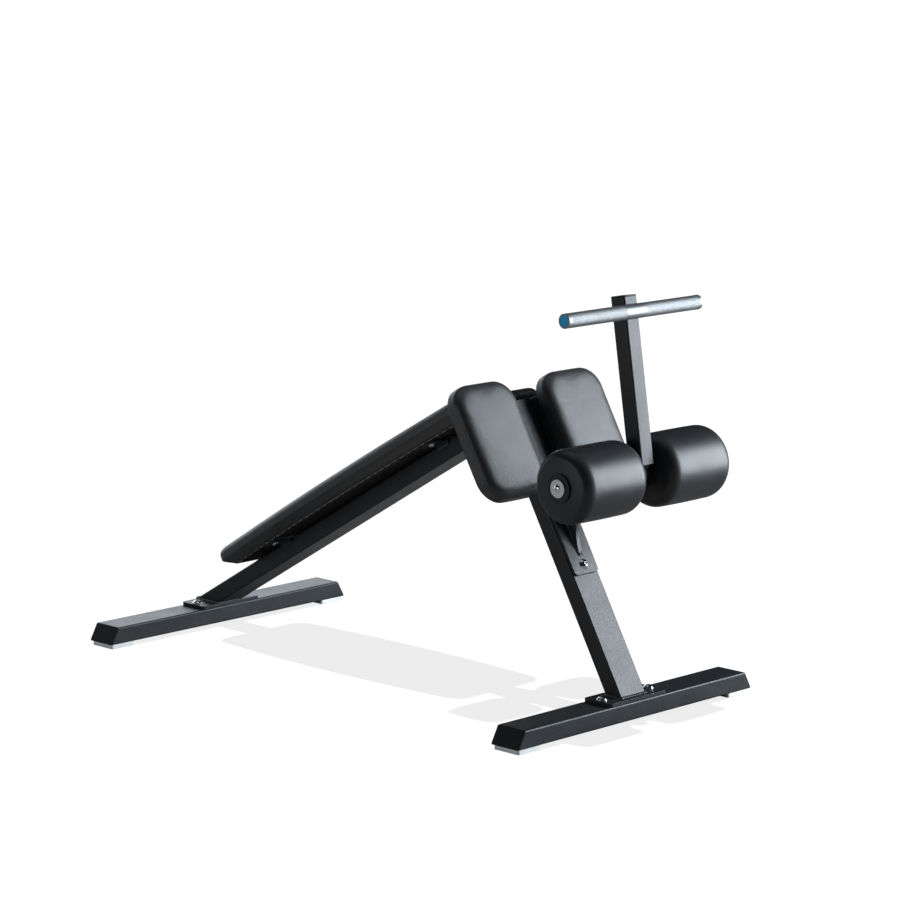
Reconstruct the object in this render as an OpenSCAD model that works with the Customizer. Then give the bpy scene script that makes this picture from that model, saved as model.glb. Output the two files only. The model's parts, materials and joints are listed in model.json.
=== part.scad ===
// Roman chair: a sloping back pad on a welded tube frame, two thigh pads, two foam
// ankle rollers on a bolted bracket, and a T-shaped hand bar above them.
// Frame: X forwards (towards the rollers), Y to the left, Z up.
// Origin: on the floor, under the middle of the whole machine.

/* [Frame tube] */
// Width of the feet, the beam and the leg tubes
tube_w = 80; // [70:1:90]
// Depth of the feet, the beam and the leg tubes
tube_d = 40; // [35:1:50]
// Wall thickness of every frame tube
tube_wall = 3; // [2:0.5:4]
// Outside corner radius of every frame tube
tube_r = 4; // [2:0.5:6]
// Distance between the two feet, centre to centre
foot_span = 1320; // [1280:5:1400]
// Slope of the beam from the floor; the leg stands square to it
slope = 30; // [28:0.5:32]

/* [Feet] */
// Length of each foot at its underside
foot_len = 750; // [600:5:900]
// How much shorter each mitred foot end is at the top
foot_mitre = 22; // [10:1:35]
// Thickness of the end cap plate, along the foot
foot_cap_t = 3; // [2:0.5:5]
// Height of the plastic pads under the feet
glide_h = 10; // [6:1:15]
// Length of each plastic pad along the foot
glide_len = 70; // [50:1:90]
// Width of each plastic pad across the foot
glide_w = 72; // [50:1:76]

/* [Flange plates] */
// Length of the bolted flange plates along the feet
flange_len = 180; // [170:1:220]
// Thickness of the flange plates
flange_t = 8; // [6:1:12]
// Distance from the middle of the flange to each bolt
flange_bolt_y = 75; // [70:1:80]
// Radius of the foot bolts' shanks
m10_r = 5; // [4:0.5:6]

/* [Back pad] */
// Length of the back pad
back_len = 936; // [850:2:940]
// Width of the back pad at its ends
back_w = 276; // [240:2:320]
// How far each long side bows out at the middle
back_bow = 20; // [0:1:30]
// Total thickness of the back pad
back_t = 41; // [36:1:60]
// Corner radius of the back pad
back_r = 39; // [25:1:60]
// Distance along the beam axis to the low end of the back pad
back_start = 186; // [180:1:260]
// Distance along the beam axis to the lower bracket's bolts
bracket_at = 340; // [300:5:400]
// Distance between the two back pad brackets
bracket_gap = 600; // [400:5:700]

/* [Thigh pads] */
// Width of each thigh pad
thigh_w = 184; // [150:1:190]
// Length of each thigh pad along the leg
thigh_len = 267; // [220:1:280]
// Total thickness of each thigh pad
thigh_t = 40; // [36:1:60]
// Corner radius of the thigh pads
thigh_r = 52; // [30:1:70]
// Distance from the middle plane to the inner edge of each pad
thigh_y = 46; // [44:1:60]
// Distance along the leg axis to the low edge of the thigh pads
thigh_start = 458; // [440:1:480]

/* [Rollers] */
// Radius of the foam rollers
roller_r = 80; // [60:1:90]
// Radius of the flat at each end of a roller
roller_end_r = 64; // [45:1:70]
// Distance from the middle plane to the inner end of a roller
roller_in = 37; // [34:1:50]
// Distance from the middle plane to the outer end of a roller
roller_out = 232; // [200:1:260]
// How far the roller axle is ahead of the front foot's middle
axle_ahead = 20; // [10:1:30]
// Height of the roller axle above the floor
axle_z = 543; // [535:1:550]
// Radius of the roller axle
axle_r = 12.5; // [10:0.5:14]

/* [Hand bar] */
// Side of the square post
post_w = 40; // [30:1:45]
// Length of the square post
post_len = 358; // [300:1:400]
// Backwards lean of the post
post_lean = 8.8; // [5:0.1:12]
// Radius of the hand bar
bar_r = 16; // [12:0.5:18]
// Length of the hand bar
bar_len = 422; // [360:2:500]
// Distance from the post's top down to the bar's axis
bar_drop = 35.6; // [30:0.1:60]

/* [Hidden] */
$fn = 48;

// Clearances
fit = 0.1;         // between parts that are bolted or pressed together
run = 0.05;        // radial, between the turning bushes and the axle
side_play = 0.3;   // along the axle, beside the turning rollers
past = 1;          // how far a cut runs past the face it opens

// Levels and places
rear_x = -28.2 - foot_span / 2;   // puts the origin under the middle of the whole machine
front_x = rear_x + foot_span;
axle_x = front_x + axle_ahead;
foot_top = glide_h + tube_d;
flange_top = foot_top + flange_t;
axis_z = foot_top + 10;
beam_len = foot_span * cos(slope);
leg_len = foot_span * sin(slope);
beam_end = beam_len - tube_d / 2;
leg_end = leg_len + tube_d / 2;
far = 1400;           // longer than the whole machine
below_flange = 80;    // how far beam and leg are drawn before the flange cuts them
inner_r = 1.5;        // corner radius inside every frame tube
plug_len = 14;        // how deep the plastic caps go into their tubes
cap_t = 3.5;          // thickness of the caps on the leg and the post

// Foot hardware
m10_hole = m10_r + 0.5;
m10_head_r = 11;
m10_head_h = 6;
m10_key = 3.4;
m10_washer_r = 12;
washer_t = 2;
m10_nut_r = 9.8;
m10_nut_h = 8;
thread_out = 4;       // how far a bolt shows past its nut
screw_r = 3;
screw_head_r = 5.5;
screw_head_t = 3;
screw_head_z = 2;
glide_r = 6;
glide_y = foot_len / 2 - 4 - glide_len / 2;

// Pad mounting
board_t = 12;
board_inset = 14;               // thigh board, in from its cushion's edge
back_board_inset = 38;          // clear of the back cushion's sloping sides
back_board_end = 18;            // clear of its sloping ends
plate_t = 5;
m8_r = 4;
m8_head_r = 8;
m8_head_h = 5;
m8_key = 2.6;
tee_r = 5.5;
tee_flange_r = 10;
tee_flange_t = 1.5;
back_bottom = tube_d / 2 + plate_t;
back_bolt_y = 75;
bracket_len = 45;
bracket_half = 98;
bracket_r = 20;
lip_len = 40;
lip_t = 4;
lip_drop = 8;
// Each cushion is one hull over slabs: height above its board's back, thickness, inset from
// its sides and, on the back cushion, from its ends
back_slabs = [[0, 0.5, 34, 12], [12, 10, 0, 0], [back_t - 8, 1, 4, 4], [back_t - 1, 1, 16, 16]];
thigh_slabs = [[0, 1, 3], [4, 20, 0], [thigh_t - 7, 1, 10], [thigh_t - 1, 1, 22]];
corner_share = 0.6;   // how much of an inset comes off a corner's radius
thigh_back = tube_d / 2 + 12;
thigh_plate_t = 6;
web_t = 5;
web_back = tube_d / 2 - 5;      // how far the web reaches back over the leg's side
rib_t = 5;
rib_in = 30;                    // from the plate's outer edge to the rib's tip
thigh_plate = [540, 680];       // along the leg
thigh_bolts_at = [565, 630];    // along the leg
thigh_bolt_y = thigh_y + thigh_w / 2;
thigh_plate_out = 190;

// Roller bracket, along and out from the leg
pad_plate = [270, 450];
pad_plate_w = 75;
pad_plate_t = 6;
pad_plate_r = 9;
bracket_bolts_at = [291, 429];
m12_r = 6;
m12_head_r = 12.8;
m12_head_h = 7;
m12_key = 4;
m12_nut_r = 10.9;
m12_nut_h = 10;
arm_t = 10;
arm_root = [314, 410];   // where the arm meets its plate, along the leg
arm_sweep_r = 126;       // radius of the arm's concave lower edge
arm_sweep_at = 300;      // level of that radius' centre, along the leg
arm_sweep_gap = 2;       // how far the sweep starts out from the plate
arm_sweep_end = 40;      // degrees it turns
arm_knee_r = 25;         // radius where that edge turns towards the axle
arm_sag = 8;             // dip of the upper edge
boss_r = 31;
sleeve_r = 18.6;
sleeve_half = 30;
tongue_half = 14;        // half width of the arm's tongue inside the post
tongue_len = 46;

// Rollers
core_r = 17;
core_wall = 2;
hub_r = 31;
hub_t = 5;
end_washer_r = 19.5;
end_washer_t = 3;
axle_half = roller_out + hub_t + side_play;
bush_depth = 22;
foam_shoulder = 26;  // length of a roller's rounded shoulder
end_head_r = 8.5;
end_head_h = 3;
end_key = 3;
end_bolt_len = 25;

// Post and bar
post_x = front_x + 39.2;
post_z = 565;
bar_at = post_len + cap_t - bar_drop;
bar_bore = 12.5;
bar_plug_in = 0.5;   // how far the end caps sit inside the bar's ends
post_plug_len = 12;

// ---------------------------------------------------------------- outlines
function arc(cx, cy, r, a0, a1, n) =
  [for (i = [0:n]) let (a = a0 + (a1 - a0) * i / n) [cx + r * cos(a), cy + r * sin(a)]];

function rounded(w, h, r, n = 4) = concat(
  arc(w / 2 - r, h / 2 - r, r, 0, 90, n), arc(r - w / 2, h / 2 - r, r, 90, 180, n),
  arc(r - w / 2, r - h / 2, r, 180, 270, n), arc(w / 2 - r, r - h / 2, r, 270, 360, n));

// A rounded rectangle whose long sides bow out by bow at the middle
function bowed(len, w, r, bow, n = 6) =
  let (pts = concat(
    arc(len / 2 - r, w / 2 - r, r, 0, 90, n),
    [for (k = [0.7:-0.2:-0.7]) [k * len / 2, w / 2]],
    arc(r - len / 2, w / 2 - r, r, 90, 180, n),
    arc(r - len / 2, r - w / 2, r, 180, 270, n),
    [for (k = [-0.7:0.2:0.7]) [k * len / 2, -w / 2]],
    arc(len / 2 - r, r - w / 2, r, 270, 360, n)))
  [for (p = pts) let (k = 2 * p[0] / len) [p[0], p[1] * (1 + 2 * bow / w * (1 - k * k))]];

// ---------------------------------------------------------------- local frames
module on_beam() translate([rear_x, 0, axis_z]) rotate([0, -slope, 0]) children();
module on_leg() translate([front_x, 0, axis_z]) rotate([0, -slope, 0]) children();
module on_axle() translate([axle_x, 0, axle_z]) children();
module on_post() translate([post_x, 0, post_z]) rotate([0, -post_lean, 0]) children();
module along_y(r, y0, y1) translate([0, y1, 0]) rotate([90, 0, 0]) cylinder(r = r, h = y1 - y0);
module along_x(r, x0, x1) translate([x0, 0, 0]) rotate([0, 90, 0]) cylinder(r = r, h = x1 - x0);
module side(s) if (s > 0) children(); else mirror([0, 1, 0]) children();
module tube_shape(w, d) difference() {
  polygon(rounded(w, d, tube_r));
  polygon(rounded(w - 2 * tube_wall, d - 2 * tube_wall, inner_r));
}
module plug_shape(w, d) polygon(rounded(w - 2 * tube_wall - 2 * fit, d - 2 * tube_wall - 2 * fit, inner_r));

// ---------------------------------------------------------------- general hardware
// Domed socket-head bolt, head up, seat at z = 0
module dome_bolt(r, head_r, head_h, len, key) {
  ball = (head_r * head_r + head_h * head_h) / (2 * head_h);
  difference() {
    union() {
      intersection() {
        translate([0, 0, head_h - ball]) sphere(r = ball);
        cylinder(r = head_r, h = head_h + 1);
      }
      translate([0, 0, -len]) cylinder(r = r, h = len + 1);
    }
    translate([0, 0, head_h / 2]) cylinder(r = key, h = head_h, $fn = 6);
  }
}

module ring(r_out, r_in, h) difference() {
  cylinder(r = r_out, h = h);
  translate([0, 0, -past]) cylinder(r = r_in, h = h + 2 * past);
}

module hex_nut(r_out, r_in, h) difference() {
  cylinder(r = r_out, h = h, $fn = 6);
  translate([0, 0, -past]) cylinder(r = r_in, h = h + 2 * past);
}

// Tee nut pressed into a board, flange up at z = 0
module tee_nut(depth) difference() {
  union() {
    translate([0, 0, -tee_flange_t]) cylinder(r = tee_flange_r, h = tee_flange_t);
    translate([0, 0, -depth]) cylinder(r = tee_r, h = depth - 0.5);
  }
  translate([0, 0, -depth - past]) cylinder(r = m8_r + fit, h = depth + 2 * past);
}

// ---------------------------------------------------------------- feet
module foot_ends(shorter) rotate([90, 0, 90])
  linear_extrude(tube_w + 10, center = true) polygon([
    [-foot_len / 2 + shorter, 0], [foot_len / 2 - shorter, 0],
    [foot_len / 2 - shorter - foot_mitre, tube_d],
    [-foot_len / 2 + shorter + foot_mitre, tube_d]]);

module along_foot() translate([0, 0, tube_d / 2]) rotate([90, 0, 0])
  linear_extrude(foot_len + 10, center = true) children();

module foot_tube(x) color("#2b2c2e") translate([x, 0, glide_h]) difference() {
  intersection() {
    along_foot() tube_shape(tube_w, tube_d);
    foot_ends(foot_cap_t);
  }
  for (s = [-1, 1]) {
    translate([0, s * flange_bolt_y, tube_d / 2]) cylinder(r = m10_hole, h = tube_d);
    translate([0, s * glide_y, -past]) cylinder(r = screw_r + fit, h = tube_d / 2);
  }
}

module foot_cap(x, s) color("#1c1d1f") translate([x, 0, glide_h]) side(s) intersection() {
  union() {
    intersection() {
      along_foot() polygon(rounded(tube_w, tube_d, tube_r));
      difference() {
        foot_ends(0);
        foot_ends(foot_cap_t);
      }
    }
    intersection() {
      along_foot() plug_shape(tube_w, tube_d);
      difference() {
        foot_ends(foot_cap_t - fit);
        foot_ends(foot_cap_t + plug_len);
      }
    }
  }
  translate([-tube_w, 0, -past]) cube([2 * tube_w, foot_len, tube_d + 2 * past]);
}

module glide(x, s) color("#dadde0") translate([x, s * glide_y, 0]) difference() {
  linear_extrude(glide_h) polygon(rounded(glide_w, glide_len, glide_r));
  translate([0, 0, -past]) cylinder(r = screw_r + fit, h = glide_h + 2 * past);
  translate([0, 0, -past]) cylinder(r = screw_head_r + 0.5, h = past + screw_head_z + screw_head_t);
}

module glide_screws() color("#8f9296") for (x = [rear_x, front_x], s = [-1, 1])
  translate([x, s * glide_y, screw_head_z]) {
    cylinder(r = screw_head_r, h = screw_head_t);
    cylinder(r = screw_r, h = 2 * glide_h);
  }

// ---------------------------------------------------------------- flange joints
module flange_plate(x) color("#242527") translate([x, 0, foot_top]) difference() {
  linear_extrude(flange_t) polygon(rounded(tube_w, flange_len, 2 * tube_r));
  for (s = [-1, 1]) translate([0, s * flange_bolt_y, -past])
    cylinder(r = m10_hole, h = flange_t + 2 * past);
}

module at_flange_bolts(z) for (x = [rear_x, front_x], s = [-1, 1])
  translate([x, s * flange_bolt_y, z]) children();

module flange_bolts() color("#b9bcc0") at_flange_bolts(flange_top + washer_t)
  dome_bolt(m10_r, m10_head_r, m10_head_h,
            flange_t + washer_t + tube_wall + m10_nut_h + thread_out, m10_key);

module flange_washers() color("#a9acb0") at_flange_bolts(flange_top)
  ring(m10_washer_r, m10_r + fit, washer_t);

module flange_nuts() color("#8f9296") at_flange_bolts(foot_top - tube_wall - m10_nut_h)
  hex_nut(m10_nut_r, m10_r + fit, m10_nut_h);

// ---------------------------------------------------------------- beam and leg
module above_flanges() translate([-far, -far / 2, flange_top]) cube([2 * far, far, far]);

module main_beam() color("#2b2c2e") intersection() {
  above_flanges();
  on_beam() translate([-below_flange, 0, 0]) rotate([90, 0, 90])
    linear_extrude(beam_end + below_flange) tube_shape(tube_w, tube_d);
}

module front_leg() color("#2b2c2e") intersection() {
  above_flanges();
  on_leg() difference() {
    translate([0, 0, -below_flange]) linear_extrude(leg_end + below_flange) tube_shape(tube_d, tube_w);
    for (s = bracket_bolts_at) translate([0, 0, s]) along_x(m12_r + 0.5, 0, tube_d);
  }
}

module leg_top_cap() color("#17181a") on_leg() translate([0, 0, leg_end]) {
  linear_extrude(cap_t) polygon(rounded(tube_d, tube_w, tube_r));
  translate([0, 0, -plug_len]) linear_extrude(plug_len + cap_t / 2) plug_shape(tube_d, tube_w);
}

// ---------------------------------------------------------------- back pad
// Folded saddle: a flat plate across the beam with two short lips down its sides
module back_bracket(at) color("#1f2022") on_beam() translate([at, 0, 0]) difference() {
  union() {
    translate([0, 0, tube_d / 2]) linear_extrude(plate_t)
      polygon(rounded(bracket_len, 2 * bracket_half, bracket_r, 6));
    for (s = [-1, 1]) side(s) translate([-lip_len / 2, tube_w / 2, tube_d / 2 - lip_drop])
      cube([lip_len, lip_t, lip_drop + plate_t / 2]);
  }
  for (s = [-1, 1]) translate([0, s * back_bolt_y, 0]) cylinder(r = m8_r + 0.5, h = tube_d);
}

module at_back_bolts(z) on_beam() for (at = [0, 1], s = [-1, 1])
  translate([bracket_at + at * bracket_gap, s * back_bolt_y, z]) children();

module back_outline(inset, end) translate([back_start + back_len / 2, 0])
  polygon(bowed(back_len - 2 * end, back_w - 2 * inset, back_r - inset * corner_share, back_bow));

module back_pad_board() color("#1b1918") difference() {
  on_beam() translate([0, 0, back_bottom]) linear_extrude(board_t)
    back_outline(back_board_inset, back_board_end);
  at_back_bolts(0) cylinder(r = tee_r + fit, h = back_bottom + board_t + past);
  at_back_bolts(back_bottom + board_t - tee_flange_t - fit)
    cylinder(r = tee_flange_r + fit, h = tee_flange_t + past);
}

module back_pad_cushion() color("#18191b") on_beam() difference() {
  hull() for (slab = back_slabs)
    translate([0, 0, back_bottom + slab[0]]) linear_extrude(slab[1])
      back_outline(slab[2], slab[3]);
  translate([0, 0, back_bottom - past]) linear_extrude(past + board_t + fit)
    back_outline(back_board_inset - fit, back_board_end - fit);
}

module back_pad_bolts() color("#c4c7cb") at_back_bolts(tube_d / 2) mirror([0, 0, 1])
  dome_bolt(m8_r, m8_head_r, m8_head_h, plate_t + board_t - past, m8_key);

module back_pad_tee_nuts() color("#a9acb0") at_back_bolts(back_bottom + board_t)
  tee_nut(board_t - past);

// ---------------------------------------------------------------- thigh pads
// Welded angle: a web on the side of the leg and a flat plate behind the pad
module thigh_bracket(s) color("#1f2022") on_leg() side(s) difference() {
  union() {
    translate([thigh_back - thigh_plate_t, tube_w / 2, thigh_plate[0]])
      cube([thigh_plate_t, thigh_plate_out - tube_w / 2, thigh_plate[1] - thigh_plate[0]]);
    translate([-web_back, tube_w / 2, thigh_plate[0]])
      cube([thigh_back + web_back - past, web_t, thigh_plate[1] - thigh_plate[0]]);
    translate([0, 0, (thigh_plate[0] + thigh_plate[1] - rib_t) / 2]) linear_extrude(rib_t) polygon([
      [-web_back + rib_t, tube_w / 2 + past], [thigh_back - past, tube_w / 2 + past],
      [thigh_back - past, thigh_plate_out - rib_in],
      [thigh_back - 2 * thigh_plate_t, thigh_plate_out - rib_in]]);
  }
  for (at = thigh_bolts_at) translate([0, thigh_bolt_y, at]) along_x(m8_r + 0.5, 0, far);
}

module thigh_slab(from, t, inset)
  translate([thigh_back + from, thigh_y + thigh_w / 2, thigh_start + thigh_len / 2])
    rotate([90, 0, 90]) linear_extrude(t) polygon(rounded(
      thigh_w - 2 * inset, thigh_len - 2 * inset, thigh_r - inset * corner_share, 8));

module thigh_board(s) color("#1b1918") on_leg() side(s) difference() {
  thigh_slab(0, board_t, board_inset);
  for (at = thigh_bolts_at) translate([0, thigh_bolt_y, at]) {
    along_x(tee_r + fit, 0, far);
    along_x(tee_flange_r + fit, thigh_back + board_t - tee_flange_t - fit, far);
  }
}

module thigh_cushion(s) color("#18191b") on_leg() side(s) difference() {
  hull() for (slab = thigh_slabs) thigh_slab(slab[0], slab[1], slab[2]);
  thigh_slab(-past, past + board_t + fit, board_inset - fit);
}

module at_thigh_bolts() on_leg() for (s = [-1, 1], at = thigh_bolts_at)
  translate([0, s * thigh_bolt_y, at]) rotate([0, 90, 0]) children();

module thigh_pad_bolts() color("#c4c7cb") at_thigh_bolts()
  translate([0, 0, thigh_back - thigh_plate_t]) mirror([0, 0, 1])
    dome_bolt(m8_r, m8_head_r, m8_head_h, thigh_plate_t + board_t - past, m8_key);

module thigh_pad_tee_nuts() color("#a9acb0") at_thigh_bolts()
  translate([0, 0, thigh_back + board_t]) tee_nut(board_t - past);

// ---------------------------------------------------------------- roller bracket
module roller_bracket_plate() color("#242527") on_leg() difference() {
  translate([tube_d / 2, 0, (pad_plate[0] + pad_plate[1]) / 2]) rotate([90, 0, 90])
    linear_extrude(pad_plate_t) polygon(rounded(pad_plate_w, pad_plate[1] - pad_plate[0], pad_plate_r));
  for (s = bracket_bolts_at) translate([0, 0, s]) along_x(m12_r + 0.5, 0, far);
}

module bracket_bolts() color("#c4c7cb") on_leg() for (s = bracket_bolts_at)
  translate([arm_foot, 0, s]) rotate([0, 90, 0]) dome_bolt(
    m12_r, m12_head_r, m12_head_h, pad_plate_t + tube_wall + m12_nut_h + thread_out, m12_key);

module bracket_nuts() color("#8f9296") on_leg() for (s = bracket_bolts_at)
  translate([tube_d / 2 - tube_wall - m12_nut_h, 0, s]) rotate([0, 90, 0])
    hex_nut(m12_nut_r, m12_r + fit, m12_nut_h);

// A point of the machine's XZ plane in the leg's frame: out from the leg, and up it
function leg_frame(x, z) = [
  (x - front_x) * cos(slope) + (z - axis_z) * sin(slope),
  (z - axis_z) * cos(slope) - (x - front_x) * sin(slope)];

// A point of the post's own XZ plane in the leg's frame
function post_frame(x, z) = leg_frame(
  post_x + x * cos(post_lean) - z * sin(post_lean),
  post_z + x * sin(post_lean) + z * cos(post_lean));

arm_foot = tube_d / 2 + pad_plate_t;
axle_at = leg_frame(axle_x, axle_z);
sweep_at = [arm_foot + arm_sweep_gap + arm_sweep_r, arm_sweep_at];
knee_at = sweep_at + (arm_sweep_r - arm_knee_r) * [-cos(arm_sweep_end), sin(arm_sweep_end)];
seat_back = post_frame(-post_w / 2, 0);

module arm_outline() polygon(concat(
  [[arm_foot, arm_root[1]], [arm_foot, arm_root[0]]],
  arc(sweep_at[0], sweep_at[1], arm_sweep_r, 170, 180 - arm_sweep_end, 5),
  arc(knee_at[0], knee_at[1], arm_knee_r, 170 - arm_sweep_end, 90, 4),
  arc(axle_at[0], axle_at[1], boss_r, -94, -10, 8),
  [for (p = [[post_w / 2, 0], [tongue_half, 0], [tongue_half, tongue_len],
             [-tongue_half, tongue_len], [-tongue_half, 0]]) post_frame(p[0], p[1])],
  [for (t = [0:0.2:0.8]) seat_back * (1 - t) + [arm_foot, arm_root[1]] * t
    - [0, 4 * arm_sag * t * (1 - t)]]));

module roller_arm() color("#1f2022") difference() {
  on_leg() rotate([90, 0, 0]) linear_extrude(arm_t, center = true) arm_outline();
  on_axle() along_y(sleeve_r + fit / 2, -arm_t, arm_t);
}

module axle_sleeve() color("#1f2022") on_axle() difference() {
  along_y(sleeve_r, -sleeve_half, sleeve_half);
  along_y(axle_r + run, -sleeve_half - past, sleeve_half + past);
}

// ---------------------------------------------------------------- rollers
module roller_axle() color("#9a9da1") on_axle() difference() {
  along_y(axle_r, -axle_half, axle_half);
  for (s = [-1, 1]) side(s) along_y(m10_r + fit, axle_half - end_bolt_len, axle_half + past);
}

// One roller, drawn on the +Y side about the axle
module spun(points) rotate([-90, 0, 0]) rotate_extrude() polygon(points);

// A roller's shoulder, from its end face to its full radius
foam_curve = [for (i = [0:6]) let (a = 15 * i)
  [roller_end_r + (roller_r - roller_end_r) * sin(a), foam_shoulder * (1 - cos(a))]];

module foam_roller(s) color("#1b1c1e") on_axle() side(s) spun(concat(
  [[core_r + fit, roller_in]],
  [for (p = foam_curve) [p[0], roller_in + p[1]]],
  [for (i = [6:-1:0]) [foam_curve[i][0], roller_out - foam_curve[i][1]]],
  [[core_r + fit, roller_out]]));

module core_tube(s) color("#8f9296") on_axle() side(s) difference() {
  along_y(core_r, roller_in, roller_out);
  along_y(core_r - core_wall, roller_in - past, roller_out + past);
}

module inner_bush(s) color("#232427") on_axle() side(s) difference() {
  union() {
    along_y(hub_r, roller_in - hub_t, roller_in);
    along_y(core_r - core_wall - fit / 2, roller_in - past, roller_in + bush_depth);
  }
  along_y(axle_r + run, roller_in - hub_t - past, roller_in + bush_depth + past);
}

module outer_bush(s) color("#232427") on_axle() side(s) difference() {
  union() {
    along_y(hub_r, roller_out, roller_out + hub_t);
    along_y(core_r - core_wall - fit / 2, roller_out - bush_depth, roller_out + past);
  }
  along_y(axle_r + run, roller_out - bush_depth - past, roller_out + hub_t + past);
}

module end_washer(s) color("#c9ccd0") on_axle() side(s) difference() {
  along_y(end_washer_r, axle_half, axle_half + end_washer_t);
  along_y(m10_r + fit, axle_half - past, axle_half + end_washer_t + past);
}

module end_bolt(s) color("#c9ccd0") on_axle() side(s)
  translate([0, axle_half + end_washer_t, 0]) rotate([-90, 0, 0])
    dome_bolt(m10_r, end_head_r, end_head_h, end_bolt_len, end_key);

// ---------------------------------------------------------------- hand bar
module handle_post() color("#232426") on_post() difference() {
  linear_extrude(post_len) tube_shape(post_w, post_w);
  translate([post_w / 2, 0, bar_at]) along_y(bar_r + fit, -post_w, post_w);
}

module post_cap() color("#141517") on_post() {
  translate([0, 0, post_len]) linear_extrude(cap_t) polygon(rounded(post_w, post_w, tube_r));
  translate([0, 0, post_len - post_plug_len]) linear_extrude(post_plug_len + cap_t / 2)
    plug_shape(post_w, post_w);
}

module hand_bar() color("#c8cbce") on_post() translate([post_w / 2, 0, bar_at]) difference() {
  along_y(bar_r, -bar_len / 2, bar_len / 2);
  along_y(bar_bore, -bar_len / 2 - past, bar_len / 2 + past);
}

module bar_cap(s) color("#2a6fa8") on_post() translate([post_w / 2, 0, bar_at]) side(s)
  along_y(bar_bore - fit, bar_len / 2 - plug_len, bar_len / 2 - bar_plug_in);

foot_tube(rear_x);  // rear_foot_tube
foot_cap(rear_x, 1);  // rear_foot_cap_left
foot_cap(rear_x, -1);  // rear_foot_cap_right
glide(rear_x, 1);  // rear_glide_left
glide(rear_x, -1);  // rear_glide_right
foot_tube(front_x);  // front_foot_tube
foot_cap(front_x, 1);  // front_foot_cap_left
foot_cap(front_x, -1);  // front_foot_cap_right
glide(front_x, 1);  // front_glide_left
glide(front_x, -1);  // front_glide_right
glide_screws();
flange_plate(rear_x);  // rear_flange_plate
flange_plate(front_x);  // front_flange_plate
flange_bolts();
flange_washers();
flange_nuts();
main_beam();
front_leg();
leg_top_cap();
back_bracket(bracket_at);  // back_bracket_lower
back_bracket(bracket_at + bracket_gap);  // back_bracket_upper
back_pad_board();
back_pad_cushion();
back_pad_bolts();
back_pad_tee_nuts();
thigh_bracket(1);  // thigh_bracket_left
thigh_bracket(-1);  // thigh_bracket_right
thigh_board(1);  // thigh_board_left
thigh_board(-1);  // thigh_board_right
thigh_cushion(1);  // thigh_cushion_left
thigh_cushion(-1);  // thigh_cushion_right
thigh_pad_bolts();
thigh_pad_tee_nuts();
roller_bracket_plate();
roller_arm();
bracket_bolts();
bracket_nuts();
axle_sleeve();
roller_axle();
foam_roller(1);  // foam_roller_left
core_tube(1);  // core_tube_left
inner_bush(1);  // inner_bush_left
outer_bush(1);  // outer_bush_left
end_washer(1);  // end_washer_left
end_bolt(1);  // end_bolt_left
foam_roller(-1);  // foam_roller_right
core_tube(-1);  // core_tube_right
inner_bush(-1);  // inner_bush_right
outer_bush(-1);  // outer_bush_right
end_washer(-1);  // end_washer_right
end_bolt(-1);  // end_bolt_right
handle_post();
post_cap();
hand_bar();
bar_cap(1);  // bar_cap_left
bar_cap(-1);  // bar_cap_right
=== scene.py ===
"""Finishes, padding, welds and stage for the roman chair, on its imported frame."""
import json
import math
import bpy
from bpy.props import FloatProperty, FloatVectorProperty, IntProperty, PointerProperty
from mathutils import Matrix, Vector


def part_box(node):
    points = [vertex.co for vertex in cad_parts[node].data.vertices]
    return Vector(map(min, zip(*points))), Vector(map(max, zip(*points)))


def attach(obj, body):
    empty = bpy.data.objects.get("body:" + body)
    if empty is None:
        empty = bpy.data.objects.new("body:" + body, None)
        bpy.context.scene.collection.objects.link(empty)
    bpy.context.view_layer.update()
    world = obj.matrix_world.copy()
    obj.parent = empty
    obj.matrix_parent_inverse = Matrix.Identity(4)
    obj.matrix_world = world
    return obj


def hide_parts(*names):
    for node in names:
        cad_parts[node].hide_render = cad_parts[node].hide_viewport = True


bl_info = {
    "name": "Roman chair",
    "version": (1, 0, 0),
    "blender": (4, 5, 0),
    "location": "3D View > Sidebar > Roman Chair",
    "description": "Padding, rollers, welds and finishes on a roman chair's frame",
    "category": "Object",
}

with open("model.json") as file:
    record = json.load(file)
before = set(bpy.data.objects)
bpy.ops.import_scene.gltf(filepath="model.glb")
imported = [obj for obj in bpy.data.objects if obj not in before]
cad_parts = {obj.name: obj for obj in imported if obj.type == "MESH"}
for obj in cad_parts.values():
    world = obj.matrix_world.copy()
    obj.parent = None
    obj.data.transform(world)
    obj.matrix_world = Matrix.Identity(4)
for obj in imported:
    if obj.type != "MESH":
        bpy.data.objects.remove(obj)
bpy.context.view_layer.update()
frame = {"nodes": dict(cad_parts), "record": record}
NODES = frame["nodes"]
MM = 0.001
# The beam climbs at this angle and the leg stands square to it, so one turn serves both:
# local X runs up the beam and out of the leg, local Z out of the back pad and up the leg.
SLOPE = math.radians(30)
TILT = Matrix.Rotation(-SLOPE, 4, "Y")


# ---- settings
def size(name, text, mm, low=0.0, high=2000.0):
    """A length property given in millimetres."""
    return FloatProperty(
        name=name, description=text, default=mm * MM, min=low * MM, max=high * MM,
        unit="LENGTH", precision=5)


def amount(name, text, value, low=0.0, high=1.0):
    """A plain number property."""
    return FloatProperty(name=name, description=text, default=value, min=low, max=high)


def count(name, text, value, low=1, high=4000):
    """A whole number property."""
    return IntProperty(name=name, description=text, default=value, min=low, max=high)


def colour(name, text, value):
    """A colour property."""
    return FloatVectorProperty(
        name=name, description=text, subtype="COLOR", size=4, default=value + (1.0,),
        min=0.0, max=1.0)


def group(name, text, kind):
    """A group of properties."""
    return PointerProperty(name=name, description=text, type=kind)


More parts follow.
